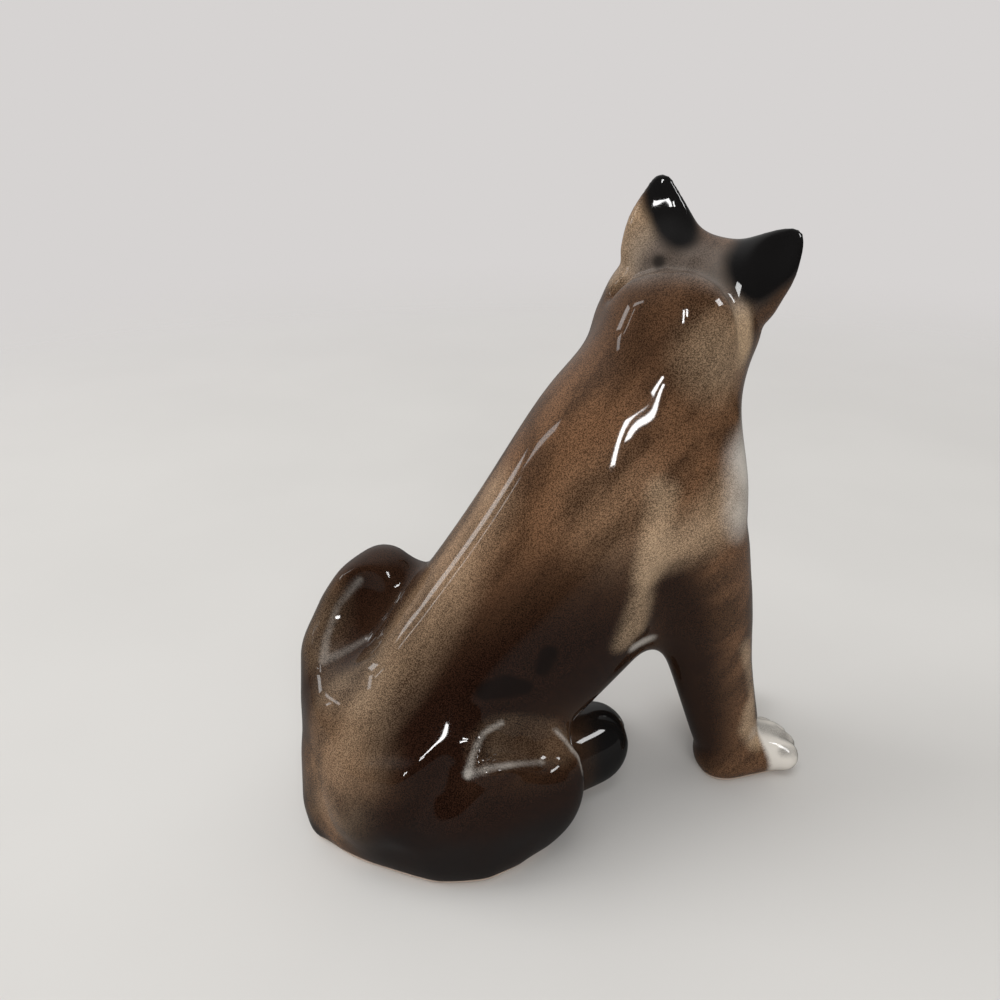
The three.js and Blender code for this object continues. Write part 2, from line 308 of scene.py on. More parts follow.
# The coats, in the order that they are sprayed
BETWEEN_EARS = [(46.5, 0, 77, 2), (55, -5, 75, 2)]
SHADE = Coat("shade", [
    # Flank, up to the elbow
    Stroke([(16, -11.5, 22, 3), (22, -12.5, 27, 3), (28, -13, 29, 3), (34, -13, 29, 3)], 17),
    Stroke([(30, -13, 36, 2), (37, -13, 38, 2)], 8, 0.4),
    # Right thigh, and painted shade in the hollow of the hip
    Stroke([(8, -13, 7, 6), (20, -14, 8, 7), (30, -13, 7, 6)], 5),
    Stroke([(12, -11, 20, 3)], 6, 0.8),
    # Painted shade inside the dish of the left knee, and the whole left knee and thigh
    Stroke([(9, 6.4, 33, 1.5), (6.5, 6, 30, 1.2)], 2, 0.5),
    Stroke([(10, 10, 20, 13), (28, 12, 12, 9), (12.4, 8, 33, 5)], 5, 0.9),
    # Back of the right foreleg
    Stroke([(45.3, -13, 38, 0.8), (47.5, -12.6, 33, 1.2), (53.4, -8.5, 14, 1.4),
            (55, -6.5, 7, 1.4)], 5.5, 0.9),
    # Nape, crown and tail
    Stroke([(44, -4, 70, 3)], 10, 0.35),
    Stroke(BETWEEN_EARS, 5, 0.15),
    Stroke([(0.4, 0, 8, 2), (0.4, 0, 1, 2)], 3, 0.8),
    # Muzzle and eye sockets
    Stroke(on_head((11, 0, -5, 4.6), (15, 0, -4, 4.6)), 4),
    *(Stroke(line, 2, 0.7) for line in on_both_sides((8.6, 4.9, 2.2, 1.9))),
])
TAN = Coat("tan", [
    # Band down the flank, behind the elbow
    Stroke([(42.9, -12.4, 51.5, 0.1), (42, -13.4, 46, 0.3), (41.5, -13.2, 41, 0.2)], 3, 0.75),
    Stroke([(41.5, -13.2, 41, 0.2), (40.6, -12.9, 36, 0.2), (39, -12.4, 31.5, 0.1)], 2.8, 0.45),
    # Shoulder, ribs and side of the neck
    Stroke([(52.3, -14, 49.9, 1), (48.9, -15.3, 47.6, 0.6), (45.6, -15.3, 45.6, 0.3),
            (43.2, -14, 43.3, 0.1)], 5, 0.5),
    Stroke([(38, -12.5, 49, 2)], 9, 0.1),
    Stroke([(51, -9.4, 67, 1)], 7, 0.5),
    # Front of the right foreleg, down to the wrist
    Stroke([(57.7, -11.6, 26.5, 0.1), (60.5, -9.6, 20.7, 0.3), (61.8, -8.8, 16.6, 0.4)], 1.8, 0.5),
    Stroke([(61.6, -9, 14, 0.5), (61.6, -9, 10.8, 0.6), (63.8, -8, 7, 0.6)], 2.2, 0.75),
    # Left ear's edge and right cheek
    Stroke([(45, 2.6, 81, 1.5), (44.2, 5.2, 75.6, 2)], 2.6, 0.55),
    Stroke([(55.2, -7.6, 71, 0.5), (55.5, -7.6, 67, 0.5)], 2.8, 0.9),
    # Rump, left knee and lower back, lighter: partly tan spray, partly painted sheen
    Stroke([(2.6, -7, 18, 1), (2, -5, 10, 1)], 9, 0.2),
    Stroke([(2, 6, 27, 1), (3, 8, 32, 1)], 5, 0.12),
    Stroke([(25, -1, 48, 1), (16, -3, 36.3, 2), (7.5, -4.5, 25, 1.5)], 6, 0.26),
    Stroke([(2.6, -0.9, 23.9, 1)], 4, 0.1),
    # Patch on the right thigh
    Stroke([(19.6, -15, 20.6, 1.8), (21.5, -14.8, 21.2, 2.4), (24.8, -13.9, 20.2, 2.3),
            (28, -13.2, 18.8, 2.2), (30.4, -12.8, 17, 1.6)], 1.6, 0.09),
])
WHITE = Coat("white", [
    # Chest
    Stroke([(58, -7, 52, 3), (60, 0, 48, 6), (58, 7, 52, 3)], 5),
    Stroke([(55.5, -11, 53, 1.2), (54.5, -13, 48.5, 1)], 5, 0.6),
    # Toes of the forelegs
    *(Stroke(on_paw(wrist, toe_out, (20, 1, 7, 15.4)), 1.2) for wrist, toe_out, _, _ in FORE_FEET),
    # Armpit, and painted sheen on the crown
    Stroke([(41, -11.6, 29.4, 0.1), (43.4, -10.6, 30.2, 0.3)], 1.2, 0.5),
    Stroke(BETWEEN_EARS, 4, 0.16),
    # Painted highlights along the edge and ridge of the right thigh, and its knee
    Stroke([(17.1, -15.5, 17.8, 0.3), (17.8, -15.1, 19.7, 0.2), (18.8, -14.3, 21.2, 0.1),
            (20.1, -13, 21.8, 0), (22.5, -12.5, 22.3, 0)], 0.6, 0.32),
    Stroke([(17.1, -15.5, 17.8, 0.3), (18.8, -16.6, 19, 0.1), (21.2, -16.4, 18.8, 0.1),
            (24, -15.3, 17.7, 0), (27.5, -14.2, 16.3, 0)], 0.6, 0.3),
    Stroke([(30, -12.3, 19.3, 0), (31.9, -12.6, 16.7, 0.1), (33.2, -13.3, 14.5, 0.15),
            (33.7, -13.9, 12.5, 0.1)], 0.4, 0.35),
    # Painted reflection along the rim of the dish in the left knee
    Stroke([(8.8, 7.1, 35.2, 0), (5.5, 7.4, 31.4, 0), (3.5, 5.9, 27.7, 0.1), (2.6, 3.5, 25.8, 0.3),
            (6.1, 3.7, 26.8, 0.1), (8.5, 3.3, 28.3, 0)], 0.7, 0.13),
])
BLOTCH = Coat("blotch", [
    # Two runs low on the flank
    Stroke([(28.6, -13, 31.6, 0.9), (27.8, -13, 29.6, 0.7)], 0.6),
    Stroke([(20.5, -12, 27, 0.8), (23, -12.4, 27.6, 1.3), (25.5, -12.6, 27.2, 0.7)], 0.7),
])
BLACK = Coat("black", [
    # Ears, and the crown between them
    Stroke([(49.6, 0.4, 79.5, 1.6), (48.6, 1, 84, 2.6), (48.2, 1.4, 88, 3)], 2),
    Stroke([(57.5, -4.4, 75.6, 3), (62, -5, 80, 4)], 2.4),
    Stroke([(46.5, 0, 78, 1), (55, -5, 76, 1)], 5, 0.35),
    # Hind feet and tip of the tail
    Stroke([(41, -1, 6.6, 5.6), (44, 0, 6.6, 6)], 5),
    Stroke([(40, 11, 5, 5), (44, 11, 5, 6)], 5),
    Stroke([(0.4, 0, 1.6, 1.8)], 2, 0.8),
    # Painted shadow at the root of each ear
    Stroke([(46.6, -0.6, 76.9, 0.4)], 0.9, 0.8),
    Stroke([(55.2, -5, 74.4, 0.4)], 0.9, 0.8),
    # Darker along the foot of the right thigh, next to the table
    Stroke([(10, -15, 3, 4), (28, -17, 3, 4)], 6, 0.6),
    # Right fore toes, the lines between them, and left fore toes
    Stroke([(72.4, -8.8, 2.6, 0.6), (73.4, -5, 2.6, 0.6)], 2.4, 0.6),
    Stroke([(66, -6, 7, 0.3), (70, -6.6, 5.4, 0.3)], 1.8, 0.4),
    Stroke([(68, -9.2, 4.4, 0.1), (72, -9, 2.4, 0.2)], 1.2, 0.45),
    Stroke([(69, -7.4, 6, 0.1), (73, -7.5, 3.6, 0.3)], 1.2, 0.45),
    Stroke([(76, 12.6, 2.6, 0.6), (73, 15, 2.6, 0.6)], 2.4, 0.5),
    # Nose, lips and rims of the eyes
    Stroke(on_head((15.6, -1.7, -0.8, 1.5), (15.9, 0, -0.9, 1.9), (15.6, 1.7, -0.8, 1.5)), 0.5),
    Stroke(on_head((15.6, 0, -2.6, 0.2), (15.4, 0, -6, 0.4)), 1.2, 0.8),
    *(Stroke(line, 1.2, 0.9) for line in MOUTH),
    *(Stroke(line, 0.4) for line in EYEBALLS + UPPER_LIDS + LOWER_LIDS),
])
IRIS = Coat("iris", [Stroke(line, 0.3) for line in on_both_sides((10.1, 5.6, 2.4, 0.8))])
PUPIL = Coat("pupil", [Stroke(line, 0.25) for line in on_both_sides((10.2, 5.65, 2.4, 0.4))])
COATS = (SHADE, TAN, WHITE, BLOTCH, BLACK, IRIS, PUPIL)


def srgb(red, green, blue):
    """A colour written in 0 to 255 steps, as Blender's linear light."""
    steps = (red / 255, green / 255, blue / 255)
    return tuple(s / 12.92 if s <= 0.04045 else ((s + 0.055) / 1.055) ** 2.4 for s in steps)


def colour_property(name, description, default):
    """A colour that a user can change."""
    return FloatVectorProperty(
        name=name, description=description, subtype="COLOR", size=3, min=0, max=1, default=default
    )


class FigurineClay(bpy.types.PropertyGroup):
    """Sizes of the clay skin"""

    grain: FloatProperty(
        name="Grain", description="Spacing of the skin's points",
        default=0.4 * MM, min=0.25 * MM, max=1.5 * MM, unit="LENGTH", precision=5,
    )
    foot_rim: FloatProperty(
        name="Foot rim", description="Height of the unglazed rim where the figure stands",
        default=0.9 * MM, min=0, max=2 * MM, unit="LENGTH", precision=5,
    )


class FigurineGlaze(bpy.types.PropertyGroup):
    """Colours of the sprayed coat and finish of the glaze"""

    brown: colour_property("Brown", "Main coat", srgb(106, 77, 55))
    # Tan also paints sheen on the rump, left knee and lower back
    tan: colour_property("Tan", "Thin spray over the clay", srgb(182, 156, 127))
    # Shade also paints shade in the hip's hollow and the left knee's dish
    shade: colour_property("Shade", "Heavy spray on the haunches and flanks", srgb(34, 19, 12))
    # White also paints highlights on the right thigh's ridges, a reflection on the left knee's dish rim
    # and sheen on the crown
    white: colour_property("White", "Bare chest and toes under clear glaze", srgb(228, 222, 213))
    blotch: colour_property("Blotch", "Drops of stain that ran together", srgb(17, 7, 4))
    # Black also paints a shadow at the root of each ear
    black: colour_property("Black", "Ears, feet and muzzle", srgb(24, 23, 23))
    iris: colour_property("Iris", "Eyes", srgb(88, 52, 26))
    clay: colour_property("Clay", "Unglazed rim", srgb(206, 188, 174))
    speckle: FloatProperty(
        name="Speckle", description="Size of the airbrush's droplets",
        default=0.15 * MM, min=0.05 * MM, max=1 * MM, unit="LENGTH", precision=5,
    )
    ripple: FloatProperty(
        name="Ripple", description="Depth of the waves in the glaze",
        default=0.1 * MM, min=0, max=0.3 * MM, unit="LENGTH", precision=5,
    )


class FigurineStudio(bpy.types.PropertyGroup):
    """Floor and light"""

    floor: colour_property("Floor", "Table top", srgb(213, 211, 208))
    background: colour_property("Background", "What the camera sees past the table", srgb(214, 211, 210))
    room: FloatProperty(
        name="Room light", description="Light from all round", default=0.36, min=0, max=2,
    )


class Clay:
    """A grid over the figure that holds distances to surfaces, in millimetres, negative inside."""

    def __init__(self, low, high, cell):
        self.cell = cell
        self.first = np.floor((low - GRID_MARGIN) / cell).astype(int)
        self.last = np.ceil((high + GRID_MARGIN) / cell).astype(int)
        self.axes = [np.arange(a, b + 1) * cell for a, b in zip(self.first, self.last)]
        self.shape = tuple(len(axis) for axis in self.axes)
        self.transform = vdb.createLinearTransform(voxelSize=cell)
        self.corner = tuple(int(n) for n in self.first)

    def cast(self, points, triangles):
        """Distances to a closed mesh."""
        grid = vdb.FloatGrid.createLevelSetFromPolygons(
            points.astype(np.float32),
            triangles=triangles.astype(np.uint32),
            transform=self.transform,
            halfWidth=BAND,
        )
        field = np.empty(self.shape, np.float32)
        grid.copyToArray(field, ijk=self.corner)
        return field

    def smooth(self, field, radius):
        """The field averaged over a soft ball, which rounds facets and edges."""
        reach = math.ceil(BALL_REACH * radius / self.cell)
        steps = np.arange(-reach, reach + 1) * self.cell / radius
        weights = np.exp(-0.5 * steps**2)
        weights /= weights.sum()
        for axis in range(3):
            padding = [(reach, reach) if n == axis else (0, 0) for n in range(3)]
            padded = np.pad(field, padding, mode="edge")
            field = np.zeros(self.shape, np.float32)
            for start, weight in enumerate(weights):
                window = [slice(None)] * 3
                window[axis] = slice(start, start + self.shape[axis])
                field += np.float32(weight) * padded[tuple(window)]
        return field

    def rub(self, field, stroke, radius):
        """Smooths the field inside a line of balls."""
        places = np.stack(np.meshgrid(*self.axes, indexing="ij"), axis=-1)
        share = soft_edge(line_distance(places, stroke.line), stroke.soft)
        field += (self.smooth(field, radius) - field) * share.astype(np.float32)

    def work(self, field, stroke, press):
        """Adds a line of balls to the field, or presses it in."""
        line = np.array(stroke.line)
        reach = line[:, 3].max() + STROKE_REACH * stroke.soft + STROKE_BAND * self.cell
        low = np.floor((line[:, :3].min(axis=0) - reach) / self.cell).astype(int) - self.first
        high = np.ceil((line[:, :3].max(axis=0) + reach) / self.cell).astype(int) - self.first
        part = tuple(slice(max(a, 0), max(b, 0)) for a, b in zip(low, high))
        axes = [axis[window] for axis, window in zip(self.axes, part)]
        places = np.stack(np.meshgrid(*axes, indexing="ij"), axis=-1)
        shape = line_distance(places, line)
        if press:
            field[part] = -smooth_least(-field[part], shape, stroke.soft)
        else:
            field[part] = smooth_least(field[part], shape, stroke.soft)

    def skin(self, field):
        """Points and four-sided faces of the surface, with the points drawn on to it."""
        grid = vdb.FloatGrid(BAND * self.cell)
        grid.copyFromArray(np.clip(field, -BAND * self.cell, BAND * self.cell), ijk=self.corner)
        grid.transform = self.transform
        points, quads = grid.convertToQuads(isovalue=0.0)
        points = points.astype(float)
        for _ in range(SETTLING_PASSES):
            slope = self.slope(field, points)
            steepness = np.maximum((slope**2).sum(axis=1), LEAST_STEEPNESS)
            points -= slope * (self.sample(field, points) / steepness)[:, None]
        return points, quads

    def sample(self, field, points):
        """The field at any points, read between the grid's cells."""
        place = points / self.cell - self.first
        base = np.clip(np.floor(place).astype(int), 0, np.array(self.shape) - 2)
        part = place - base
        total = np.zeros(len(points))
        for corner in itertools.product((0, 1), repeat=3):
            weight = np.prod(np.where(corner, part, 1 - part), axis=1)
            total += weight * field[tuple((base + corner).T)]
        return total

    def slope(self, field, points):
        """Which way the field rises, and how fast."""
        steps = np.eye(3) * self.cell
        rises = [self.sample(field, points + step) - self.sample(field, points - step) for step in steps]
        return np.stack(rises, axis=1) / (2 * self.cell)


def line_distance(places, line):
    """Distance from places to a line of balls, with a straight taper from each ball to the next."""
    line = np.asarray(line, float)
    if len(line) == 1:
        return np.linalg.norm(places - line[0, :3], axis=-1) - line[0, 3]
    nearest = np.inf
    for start, end in zip(line, line[1:]):
        along = end[:3] - start[:3]
        share = np.clip(((places - start[:3]) @ along) / (along @ along), 0, 1)
        centre = start[:3] + share[..., None] * along
        radius = start[3] + share * (end[3] - start[3])
        nearest = np.minimum(nearest, np.linalg.norm(places - centre, axis=-1) - radius)
    return nearest


def smooth_least(first, second, width):
    """The smaller of two distances, rounded over where they come within width of each other."""
    share = np.clip(0.5 + 0.5 * (second - first) / width, 0, 1)
    return second + (first - second) * share - width * share * (1 - share)


def soft_edge(distance, soft):
    """1 inside, 0 further out than soft, with a spray's smooth fall between."""
    inside = np.clip(1 - distance / soft, 0, 1)
    return inside * inside * (3 - 2 * inside)


def round_directions(count):
    """Directions spread evenly all round, on a spiral."""
    for n in range(count):
        height = 1 - (2 * n + 1) / count
        turn = n * math.pi * (3 - math.sqrt(5))
        flat = math.sqrt(1 - height * height)
        yield Vector((flat * math.cos(turn), flat * math.sin(turn), height))


def run_below_table(mesh):
    """Draws the flat base of a mesh down, so that smoothing doesn't round the edge it stands on."""
    low = [face for face in mesh.faces if face.calc_center_median().z < BASE_HEIGHT * MM]
    flat = [face for face in low if face.normal.z < BASE_SLOPE]
    drawn = bmesh.ops.extrude_face_region(mesh, geom=flat)["geom"]
    corners = [part for part in drawn if isinstance(part, bmesh.types.BMVert)]
    bmesh.ops.translate(mesh, verts=corners, vec=(0, 0, -FOOTING * MM))
    bmesh.ops.delete(mesh, geom=[face for face in flat if face.is_valid], context="FACES_ONLY")


def outside_of(node):
    """Points and triangles of a node as a closed skin, without the faces that look into its hollow."""
    mesh = bmesh.new()
    mesh.from_mesh(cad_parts[node].data)
    bmesh.ops.remove_doubles(mesh, verts=mesh.verts, dist=WELD * MM)
    if node == HOLLOW_NODE:
        tree = BVHTree.FromBMesh(mesh)
        directions = list(round_directions(LOOKS))

        def looks_inside(face):
            start = face.calc_center_median() + face.normal * STAND_OFF * MM
            ahead = [way for way in directions if way.dot(face.normal) > LEAST_RISE]
            hits = sum(tree.ray_cast(start, way)[0] is not None for way in ahead)
            return hits > len(ahead) / 2

        inner = [face for face in mesh.faces if looks_inside(face)]
        bmesh.ops.delete(mesh, geom=inner, context="FACES")
        bmesh.ops.holes_fill(mesh, edges=[edge for edge in mesh.edges if edge.is_boundary], sides=0)
        bmesh.ops.recalc_face_normals(mesh, faces=mesh.faces)
    run_below_table(mesh)
    bmesh.ops.triangulate(mesh, faces=mesh.faces)
    mesh.verts.index_update()
    points = np.array([vertex.co for vertex in mesh.verts]) / MM - ORIGIN
    triangles = np.array([[vertex.index for vertex in face.verts] for face in mesh.faces])
    mesh.free()
    return points, triangles


def neighbours_of(count, quads):
    """For each point, the points that a side of a face joins it to."""
    neighbours = [[] for _ in range(count)]
    for quad in quads.tolist():
        for start, end in zip(quad, quad[1:] + quad[:1]):
            neighbours[start].append(end)
            neighbours[end].append(start)
    return neighbours


def patches(owner, neighbours):
    """The groups of joined points that have one owner, the largest first."""
    groups = []
    seen = set()
    for start, node in enumerate(owner):
        if start in seen:
            continue
        seen.add(start)
        group = [start]
        for point in group:
            near = dict.fromkeys(neighbours[point])
            joined = [other for other in near if owner[other] == node and other not in seen]
            seen.update(joined)
            group += joined
        groups.append(group)
    return sorted(groups, key=len, reverse=True)


def outer_faces(quads, neighbours):
    """The faces of the outer surface, without the bubbles inside the clay."""
    outer = np.zeros(len(neighbours), bool)
    outer[patches([0] * len(neighbours), neighbours)[0]] = True
    return quads[outer[quads[:, 0]]]


def join_islands(owner, neighbours):
    """Gives each patch that is cut off from the rest of its node to the node round it."""
    settled = set()
    for patch in patches(owner.tolist(), neighbours):
        node = owner[patch[0]]
        if node not in settled:
            settled.add(node)
            continue
        beside = [other for point in patch for other in neighbours[point] if owner[other] != node]
        around = owner[beside].tolist()
        if around:
            owner[patch] = max(sorted(set(around)), key=around.count)


class Skin:
    """The whole figure's surface, cut up by the node that each part of it belongs to."""

    def __init__(self, cell):
        outsides = {node: outside_of(node) for node in SMOOTHING}
        low = np.min([points.min(axis=0) for points, _ in outsides.values()], axis=0)
        high = np.max([points.max(axis=0) for points, _ in outsides.values()], axis=0)
        clay = Clay(low, high, cell)
        solids = {node: clay.cast(*outsides[node]) for node in SMOOTHING}
        clay.work(solids["head"], Stroke(HEAD_CORE, HEAD_CORE_SOFT), press=False)
        for node, radius in SMOOTHING.items():
            solids[node] = clay.smooth(solids[node], radius) - SMOOTHING_LOSS
        for node, line in HOLLOWED.items():
            clay.work(solids[node], Stroke(line, BAR_SOFT), press=True)
        field = functools.reduce(np.minimum, solids.values())
        for first, second, width in WIPED_JOINTS:
            field = np.minimum(field, smooth_least(solids[first], solids[second], width))
        for stroke in BODY_CLAY:
            clay.work(field, stroke, press=False)
        for stroke in RUBBED:
            clay.rub(field, stroke, RUB)
        for stroke in ADDED_CLAY:
            clay.work(field, stroke, press=False)
        for stroke in PRESSED_CLAY:
            clay.work(field, stroke, press=True)
        field = clay.smooth(field, LAST_SMOOTHING)
        field = np.maximum(field, -clay.axes[2].astype(np.float32))
        points, quads = clay.skin(field)
        slope = clay.slope(field, points)
        self.normals = slope / np.linalg.norm(slope, axis=1, keepdims=True)
        self.points = points
        distances = np.stack([clay.sample(solid, points) for solid in solids.values()])
        self.faces = {node: [] for node in SMOOTHING}
        self.cut(quads, distances, list(SMOOTHING))
        self.coats = {coat.name: self.spray(coat) for coat in COATS}

    def cut(self, quads, distances, nodes):
        """Gives each face to the nearest node, and cuts the faces that lie across two or three nodes."""
        neighbours = neighbours_of(len(self.points), quads)
        quads = outer_faces(quads, neighbours)
        owner = distances.argmin(axis=0)
        join_islands(owner, neighbours)
        owners = owner[quads]
        whole = (owners == owners[:, :1]).all(axis=1)
        for number, node in enumerate(nodes):
            self.faces[node] += quads[whole & (owners[:, 0] == number)].tolist()
        cuts = {}
        ends = []

        def cut_point(start, end):
            """The point between two corners that is as near to the node of one as of the other."""
            key = (min(start, end), max(start, end))
            if key not in cuts:
                a, b = key
                lead_a = distances[owner[b], a] - distances[owner[a], a]
                lead_b = distances[owner[a], b] - distances[owner[b], b]
                share = lead_a / max(lead_a + lead_b, TINY)
                cuts[key] = len(self.points) + len(ends)
                ends.append((a, b, min(max(share, SEAM_MARGIN), 1 - SEAM_MARGIN)))
            return cuts[key]

        for quad in quads[~whole].tolist():
            for corners in (quad[:3], [quad[0], quad[2], quad[3]]):
                kinds = [owner[corner] for corner in corners]
                alone = next((n for n in range(3) if kinds.count(kinds[n]) == 1), None)
                if alone is None:
                    self.faces[nodes[kinds[0]]].append(corners)
                    continue
                tip, left, right = corners[alone], corners[(alone + 1) % 3], corners[(alone + 2) % 3]
                near = cut_point(tip, left)
                far = cut_point(tip, right)
                if owner[left] == owner[right]:
                    self.faces[nodes[owner[tip]]].append([tip, near, far])
                    self.faces[nodes[owner[left]]].append([near, left, right, far])
                else:
                    across = cut_point(left, right)
                    self.faces[nodes[owner[tip]]].append([tip, near, across, far])
                    self.faces[nodes[owner[left]]].append([near, left, across])
                    self.faces[nodes[owner[right]]].append([far, across, right])
        a, b, share = (np.array(column) for column in zip(*ends))
        share = share[:, None]
        self.points = np.vstack((self.points, self.points[a] * (1 - share) + self.points[b] * share))
        normals = self.normals[a] * (1 - share) + self.normals[b] * share
        normals /= np.linalg.norm(normals, axis=1, keepdims=True)
        self.normals = np.vstack((self.normals, normals))

    def spray(self, coat):
        """How thickly a coat covers each point."""
        cover = np.zeros(len(self.points))
        for stroke in coat.strokes:
            layer = stroke.strength * soft_edge(line_distance(self.points, stroke.line), stroke.soft)
            cover = 1 - (1 - cover) * (1 - layer)
        return cover

    def mesh(self, node):
        """The part of the skin that stands for a node, with its coats as attributes."""
        used, numbers = np.unique(np.concatenate(self.faces[node]), return_inverse=True)
        corners = iter(numbers.tolist())
        faces = [[next(corners) for _ in face] for face in self.faces[node]]
        mesh = bpy.data.meshes.new(node + "_skin")
        mesh.from_pydata((self.points[used] + ORIGIN) * MM, [], faces)
        mesh.shade_smooth()
        for name, cover in self.coats.items():
            attribute = mesh.attributes.new(name, "FLOAT", "POINT")
            attribute.data.foreach_set("value", cover[used].astype(np.float32))
        mesh.normals_split_custom_set_from_vertices(self.normals[used])
        return mesh


@functools.lru_cache(maxsize=1)
def skin_of_grain(cell):
    """The figure's skin, which all the pieces share."""
    return Skin(cell)


class Value:
    """A shader socket that Python's operators work on."""

    def __init__(self, tree, socket):
        self.tree = tree
        self.socket = socket

    def math(self, operation, *operands):
        """One Math node."""
        return self.tree.node("ShaderNodeMath", {"operation": operation}, dict(enumerate(operands)))

    def __add__(self, other):
        return self.math("ADD", self, other)

    def __sub__(self, other):
        return self.math("SUBTRACT", self, other)

    def __rsub__(self, other):
        return self.math("SUBTRACT", other, self)

    def __mul__(self, other):
        return self.math("MULTIPLY", self, other)

    __radd__ = __add__
    __rmul__ = __mul__

    def between(self, low, high):
        """0 at low, 1 at high, smooth between."""
        return self.tree.node(
            "ShaderNodeMapRange",
            {"interpolation_type": "SMOOTHSTEP"},
            {"Value": self, "From Min": low, "From Max": high},
        )


class Nodes:
    """Adds nodes to a material's or the world's tree."""

    def __init__(self, owner):
        owner.use_nodes = True
        self.tree = owner.node_tree
        self.tree.nodes.clear()

    def node(self, kind, settings=None, sockets=None, output=0):
        """Adds a node, with its settings and the values or links of its sockets."""
        node = self.tree.nodes.new(kind)
        for name, setting in (settings or {}).items():
            setattr(node, name, setting)
        for key, value in (sockets or {}).items():
            socket = node.inputs[key]
            if isinstance(value, Value):
                self.tree.links.new(value.socket, socket)
            else:
                socket.default_value = value
        return Value(self, node.outputs[output]) if node.outputs else node

    def coat(self, name):
        """How thickly a coat lies on the skin."""
        return self.node("ShaderNodeAttribute", {"attribute_name": name}, output="Fac")

    def noise(self, place, size, detail):
        """Soft random values, with features of about a size in metres."""
        sockets = {"Vector": place, "Scale": 1 / size, "Detail": detail}
        return self.node("ShaderNodeTexNoise", sockets=sockets)

    def mix(self, share, under, over):
        """Two colours mixed."""
        sockets = {0: share, 6: rgba(under), 7: rgba(over)}
        return self.node("ShaderNodeMix", {"data_type": "RGBA"}, sockets, output=2)


def rgba(colour):
    """A colour as a socket takes it."""
    return colour if isinstance(colour, Value) else (*colour, 1)


# The airbrush's droplets, as a range of noise
DROPLET_EDGES = (0.34, 0.66)

# The clouds that it left, drawn out along the back: their size across, how much of their length is
# taken up by the drawing, and their range of noise
SPINE = (0.67, 0, 0.74)
CLOUD_SIZE = 3.6 * MM
CLOUD_DRAW = 0.65
CLOUD_EDGES = (0.36, 0.62)

# How far droplets and clouds move the edge of a coat
DROPLET_SWAY = 0.2
CLOUD_SWAY = 0.8

# How dark the brown is where clouds lie, and how far each stain varies with its droplets
CLOUD_SHADE = 0.52
BROWN_SPREAD = 0.6
DARK_SPREAD = 0.65
TAN_SPREAD = 0.35

# The rim's ragged edge, in shares of its height, and the waves in the glaze
RIM_EDGES = (0.7, 1.2)
WAVE_SIZE = 7 * MM

# Finish of the stain, of bare clay above that, and of the clear glaze
STAIN_ROUGHNESS = 0.3
BARE_ROUGHNESS = 0.5
GLAZE_ROUGHNESS = 0.045
GLAZE_IOR = 1.45


def scaled(colour, share):
    """A colour made darker or lighter, no lighter than white."""
    return tuple(min(1, share * part) for part in colour)


def glaze_material(glaze, foot_rim):
    """Sprayed stain with some painted light and shade, under a clear, faintly wavy glaze, wiped off the
    rim that it stands on.
    """
    material = bpy.data.materials.new("sprayed_glaze")
    nodes = Nodes(material)
    place = nodes.node("ShaderNodeTexCoord", output="Object")
    droplets = nodes.noise(place, glaze.speckle, 2.0).between(*DROPLET_EDGES)
    dot = {0: place, 1: SPINE}
    along = nodes.node("ShaderNodeVectorMath", {"operation": "DOT_PRODUCT"}, dot, output="Value")
    draw = {0: SPINE, "Scale": along * -CLOUD_DRAW}
    shorter = nodes.node("ShaderNodeVectorMath", {"operation": "SCALE"}, draw)
    drawn_out = nodes.node("ShaderNodeVectorMath", {"operation": "ADD"}, {0: place, 1: shorter})
    clouds = nodes.noise(drawn_out, CLOUD_SIZE, 3.0)
    sway = (droplets - 0.5) * DROPLET_SWAY + (clouds - 0.5) * CLOUD_SWAY

    def cover(name):
        """A coat with a ragged edge, which strays most where it covers by half."""
        thick = nodes.coat(name)
        edge = thick * (1 - thick) * 4
        return nodes.node("ShaderNodeClamp", sockets={0: thick + sway * edge})

    def stain(colour, spread):
        """A colour as droplets leave it, thin between them and dark where they lie thick."""
        return nodes.mix(droplets, scaled(colour, 1 - spread), scaled(colour, 1 + spread))

    heavy = stain(scaled(glaze.brown, CLOUD_SHADE), DARK_SPREAD)
    colour = nodes.mix(clouds.between(*CLOUD_EDGES), heavy, stain(glaze.brown, BROWN_SPREAD))
    colour = nodes.mix(cover("shade"), colour, stain(glaze.shade, DARK_SPREAD))
    colour = nodes.mix(cover("tan"), colour, stain(glaze.tan, TAN_SPREAD))
    for name in ("white", "blotch", "black", "iris"):
        colour = nodes.mix(cover(name), colour, getattr(glaze, name))
    colour = nodes.mix(cover("pupil"), colour, glaze.black)

    position = nodes.node("ShaderNodeNewGeometry", output="Position")
    height = nodes.node("ShaderNodeSeparateXYZ", sockets={0: position}, output="Z")
    low, high = (share * foot_rim for share in RIM_EDGES)
    bare = 1 - (height + (clouds - 0.5) * foot_rim).between(low, high)
    colour = nodes.mix(bare, colour, glaze.clay)

    waves = nodes.noise(place, WAVE_SIZE, 1.0)
    ripple = {"Strength": 1.0, "Distance": glaze.ripple, "Height": waves}
    bump = nodes.node("ShaderNodeBump", sockets=ripple)
    shader = nodes.node("ShaderNodeBsdfPrincipled", sockets={
        "Base Color": colour,
        "Roughness": STAIN_ROUGHNESS + bare * BARE_ROUGHNESS,
        "IOR": 1.5,
        "Specular IOR Level": 0.0,
        "Coat Weight": 1 - bare,
        "Coat Roughness": GLAZE_ROUGHNESS,
        "Coat IOR": GLAZE_IOR,
        "Normal": bump,
    })
    nodes.node("ShaderNodeOutputMaterial", sockets={"Surface": shader})
    return material


